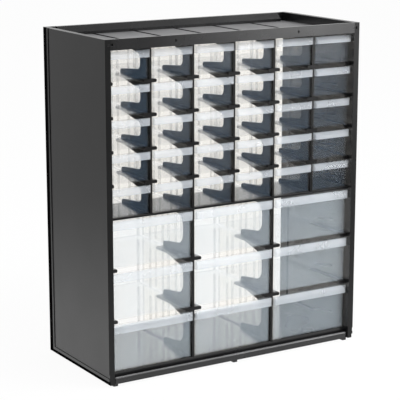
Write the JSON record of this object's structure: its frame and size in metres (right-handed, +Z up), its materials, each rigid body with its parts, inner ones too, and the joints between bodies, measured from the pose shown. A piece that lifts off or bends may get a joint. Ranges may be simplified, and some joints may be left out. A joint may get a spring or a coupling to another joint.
{
  "type": "parts cabinet",
  "caption": "Free-standing moulded plastic cabinet with an open back and rows of clear pull-out drawers, small above and large below, under a shallow top tray.",
  "frame": {"origin": "on the floor under the middle of the cabinet, at the underside of the stacking pegs", "axes": "+X to the right when facing the drawers, +Y to the back, +Z up; drawers pull out towards -Y"},
  "size_m": [0.365, 0.163, 0.4194],
  "materials": {
    "frame_plastic": "black moulded plastic with a fine satin grain",
    "clear_plastic": "clear moulded polystyrene, glossy, with a faint cool tint"
  },
  "bodies": {
    "cabinet": {"left_side_panel": "frame_plastic", "right_side_panel": "frame_plastic", "top_tray": "frame_plastic", "base_panel": "frame_plastic", "middle_shelf": "frame_plastic", "upper_partition_1": "frame_plastic", "upper_partition_2": "frame_plastic", "upper_partition_3": "frame_plastic", "upper_partition_4": "frame_plastic", "upper_partition_5": "frame_plastic", "lower_partition_1": "frame_plastic", "lower_partition_2": "frame_plastic"},
    "small_drawer_row1_column1": {"small_drawer_row1_column1": "clear_plastic"},
    "small_drawer_row1_column2": {"small_drawer_row1_column2": "clear_plastic"},
    "small_drawer_row1_column3": {"small_drawer_row1_column3": "clear_plastic"},
    "small_drawer_row1_column4": {"small_drawer_row1_column4": "clear_plastic"},
    "small_drawer_row1_column5": {"small_drawer_row1_column5": "clear_plastic"},
    "small_drawer_row1_column6": {"small_drawer_row1_column6": "clear_plastic"},
    "small_drawer_row2_column1": {"small_drawer_row2_column1": "clear_plastic"},
    "small_drawer_row2_column2": {"small_drawer_row2_column2": "clear_plastic"},
    "small_drawer_row2_column3": {"small_drawer_row2_column3": "clear_plastic"},
    "small_drawer_row2_column4": {"small_drawer_row2_column4": "clear_plastic"},
    "small_drawer_row2_column5": {"small_drawer_row2_column5": "clear_plastic"},
    "small_drawer_row2_column6": {"small_drawer_row2_column6": "clear_plastic"},
    "small_drawer_row3_column1": {"small_drawer_row3_column1": "clear_plastic"},
    "small_drawer_row3_column2": {"small_drawer_row3_column2": "clear_plastic"},
    "small_drawer_row3_column3": {"small_drawer_row3_column3": "clear_plastic"},
    "small_drawer_row3_column4": {"small_drawer_row3_column4": "clear_plastic"},
    "small_drawer_row3_column5": {"small_drawer_row3_column5": "clear_plastic"},
    "small_drawer_row3_column6": {"small_drawer_row3_column6": "clear_plastic"},
    "small_drawer_row4_column1": {"small_drawer_row4_column1": "clear_plastic"},
    "small_drawer_row4_column2": {"small_drawer_row4_column2": "clear_plastic"},
    "small_drawer_row4_column3": {"small_drawer_row4_column3": "clear_plastic"},
    "small_drawer_row4_column4": {"small_drawer_row4_column4": "clear_plastic"},
    "small_drawer_row4_column5": {"small_drawer_row4_column5": "clear_plastic"},
    "small_drawer_row4_column6": {"small_drawer_row4_column6": "clear_plastic"},
    "small_drawer_row5_column1": {"small_drawer_row5_column1": "clear_plastic"},
    "small_drawer_row5_column2": {"small_drawer_row5_column2": "clear_plastic"},
    "small_drawer_row5_column3": {"small_drawer_row5_column3": "clear_plastic"},
    "small_drawer_row5_column4": {"small_drawer_row5_column4": "clear_plastic"},
    "small_drawer_row5_column5": {"small_drawer_row5_column5": "clear_plastic"},
    "small_drawer_row5_column6": {"small_drawer_row5_column6": "clear_plastic"},
    "large_drawer_row1_column1": {"large_drawer_row1_column1": "clear_plastic"},
    "large_drawer_row1_column2": {"large_drawer_row1_column2": "clear_plastic"},
    "large_drawer_row1_column3": {"large_drawer_row1_column3": "clear_plastic"},
    "large_drawer_row2_column1": {"large_drawer_row2_column1": "clear_plastic"},
    "large_drawer_row2_column2": {"large_drawer_row2_column2": "clear_plastic"},
    "large_drawer_row2_column3": {"large_drawer_row2_column3": "clear_plastic"},
    "large_drawer_row3_column1": {"large_drawer_row3_column1": "clear_plastic"},
    "large_drawer_row3_column2": {"large_drawer_row3_column2": "clear_plastic"},
    "large_drawer_row3_column3": {"large_drawer_row3_column3": "clear_plastic"}
  },
  "joints": [
    {"name": "small_drawer_row1_column1_slide", "type": "slide", "parent": "cabinet", "child": "small_drawer_row1_column1", "axis": [0, -1, 0], "range_m": [0, 0.09]},
    {"name": "small_drawer_row1_column2_slide", "type": "slide", "parent": "cabinet", "child": "small_drawer_row1_column2", "axis": [0, -1, 0], "range_m": [0, 0.09]},
    {"name": "small_drawer_row1_column3_slide", "type": "slide", "parent": "cabinet", "child": "small_drawer_row1_column3", "axis": [0, -1, 0], "range_m": [0, 0.09]},
    {"name": "small_drawer_row1_column4_slide", "type": "slide", "parent": "cabinet", "child": "small_drawer_row1_column4", "axis": [0, -1, 0], "range_m": [0, 0.09]},
    {"name": "small_drawer_row1_column5_slide", "type": "slide", "parent": "cabinet", "child": "small_drawer_row1_column5", "axis": [0, -1, 0], "range_m": [0, 0.09]},
    {"name": "small_drawer_row1_column6_slide", "type": "slide", "parent": "cabinet", "child": "small_drawer_row1_column6", "axis": [0, -1, 0], "range_m": [0, 0.09]},
    {"name": "small_drawer_row2_column1_slide", "type": "slide", "parent": "cabinet", "child": "small_drawer_row2_column1", "axis": [0, -1, 0], "range_m": [0, 0.09]},
    {"name": "small_drawer_row2_column2_slide", "type": "slide", "parent": "cabinet", "child": "small_drawer_row2_column2", "axis": [0, -1, 0], "range_m": [0, 0.09]},
    {"name": "small_drawer_row2_column3_slide", "type": "slide", "parent": "cabinet", "child": "small_drawer_row2_column3", "axis": [0, -1, 0], "range_m": [0, 0.09]},
    {"name": "small_drawer_row2_column4_slide", "type": "slide", "parent": "cabinet", "child": "small_drawer_row2_column4", "axis": [0, -1, 0], "range_m": [0, 0.09]},
    {"name": "small_drawer_row2_column5_slide", "type": "slide", "parent": "cabinet", "child": "small_drawer_row2_column5", "axis": [0, -1, 0], "range_m": [0, 0.09]},
    {"name": "small_drawer_row2_column6_slide", "type": "slide", "parent": "cabinet", "child": "small_drawer_row2_column6", "axis": [0, -1, 0], "range_m": [0, 0.09]},
    {"name": "small_drawer_row3_column1_slide", "type": "slide", "parent": "cabinet", "child": "small_drawer_row3_column1", "axis": [0, -1, 0], "range_m": [0, 0.09]},
    {"name": "small_drawer_row3_column2_slide", "type": "slide", "parent": "cabinet", "child": "small_drawer_row3_column2", "axis": [0, -1, 0], "range_m": [0, 0.09]},
    {"name": "small_drawer_row3_column3_slide", "type": "slide", "parent": "cabinet", "child": "small_drawer_row3_column3", "axis": [0, -1, 0], "range_m": [0, 0.09]},
    {"name": "small_drawer_row3_column4_slide", "type": "slide", "parent": "cabinet", "child": "small_drawer_row3_column4", "axis": [0, -1, 0], "range_m": [0, 0.09]},
    {"name": "small_drawer_row3_column5_slide", "type": "slide", "parent": "cabinet", "child": "small_drawer_row3_column5", "axis": [0, -1, 0], "range_m": [0, 0.09]},
    {"name": "small_drawer_row3_column6_slide", "type": "slide", "parent": "cabinet", "child": "small_drawer_row3_column6", "axis": [0, -1, 0], "range_m": [0, 0.09]},
    {"name": "small_drawer_row4_column1_slide", "type": "slide", "parent": "cabinet", "child": "small_drawer_row4_column1", "axis": [0, -1, 0], "range_m": [0, 0.09]},
    {"name": "small_drawer_row4_column2_slide", "type": "slide", "parent": "cabinet", "child": "small_drawer_row4_column2", "axis": [0, -1, 0], "range_m": [0, 0.09]},
    {"name": "small_drawer_row4_column3_slide", "type": "slide", "parent": "cabinet", "child": "small_drawer_row4_column3", "axis": [0, -1, 0], "range_m": [0, 0.09]},
    {"name": "small_drawer_row4_column4_slide", "type": "slide", "parent": "cabinet", "child": "small_drawer_row4_column4", "axis": [0, -1, 0], "range_m": [0, 0.09]},
    {"name": "small_drawer_row4_column5_slide", "type": "slide", "parent": "cabinet", "child": "small_drawer_row4_column5", "axis": [0, -1, 0], "range_m": [0, 0.09]},
    {"name": "small_drawer_row4_column6_slide", "type": "slide", "parent": "cabinet", "child": "small_drawer_row4_column6", "axis": [0, -1, 0], "range_m": [0, 0.09]},
    {"name": "small_drawer_row5_column1_slide", "type": "slide", "parent": "cabinet", "child": "small_drawer_row5_column1", "axis": [0, -1, 0], "range_m": [0, 0.09]},
    {"name": "small_drawer_row5_column2_slide", "type": "slide", "parent": "cabinet", "child": "small_drawer_row5_column2", "axis": [0, -1, 0], "range_m": [0, 0.09]},
    {"name": "small_drawer_row5_column3_slide", "type": "slide", "parent": "cabinet", "child": "small_drawer_row5_column3", "axis": [0, -1, 0], "range_m": [0, 0.09]},
    {"name": "small_drawer_row5_column4_slide", "type": "slide", "parent": "cabinet", "child": "small_drawer_row5_column4", "axis": [0, -1, 0], "range_m": [0, 0.09]},
    {"name": "small_drawer_row5_column5_slide", "type": "slide", "parent": "cabinet", "child": "small_drawer_row5_column5", "axis": [0, -1, 0], "range_m": [0, 0.09]},
    {"name": "small_drawer_row5_column6_slide", "type": "slide", "parent": "cabinet", "child": "small_drawer_row5_column6", "axis": [0, -1, 0], "range_m": [0, 0.09]},
    {"name": "large_drawer_row1_column1_slide", "type": "slide", "parent": "cabinet", "child": "large_drawer_row1_column1", "axis": [0, -1, 0], "range_m": [0, 0.09]},
    {"name": "large_drawer_row1_column2_slide", "type": "slide", "parent": "cabinet", "child": "large_drawer_row1_column2", "axis": [0, -1, 0], "range_m": [0, 0.09]},
    {"name": "large_drawer_row1_column3_slide", "type": "slide", "parent": "cabinet", "child": "large_drawer_row1_column3", "axis": [0, -1, 0], "range_m": [0, 0.09]},
    {"name": "large_drawer_row2_column1_slide", "type": "slide", "parent": "cabinet", "child": "large_drawer_row2_column1", "axis": [0, -1, 0], "range_m": [0, 0.09]},
    {"name": "large_drawer_row2_column2_slide", "type": "slide", "parent": "cabinet", "child": "large_drawer_row2_column2", "axis": [0, -1, 0], "range_m": [0, 0.09]},
    {"name": "large_drawer_row2_column3_slide", "type": "slide", "parent": "cabinet", "child": "large_drawer_row2_column3", "axis": [0, -1, 0], "range_m": [0, 0.09]},
    {"name": "large_drawer_row3_column1_slide", "type": "slide", "parent": "cabinet", "child": "large_drawer_row3_column1", "axis": [0, -1, 0], "range_m": [0, 0.09]},
    {"name": "large_drawer_row3_column2_slide", "type": "slide", "parent": "cabinet", "child": "large_drawer_row3_column2", "axis": [0, -1, 0], "range_m": [0, 0.09]},
    {"name": "large_drawer_row3_column3_slide", "type": "slide", "parent": "cabinet", "child": "large_drawer_row3_column3", "axis": [0, -1, 0], "range_m": [0, 0.09]}
  ]
}
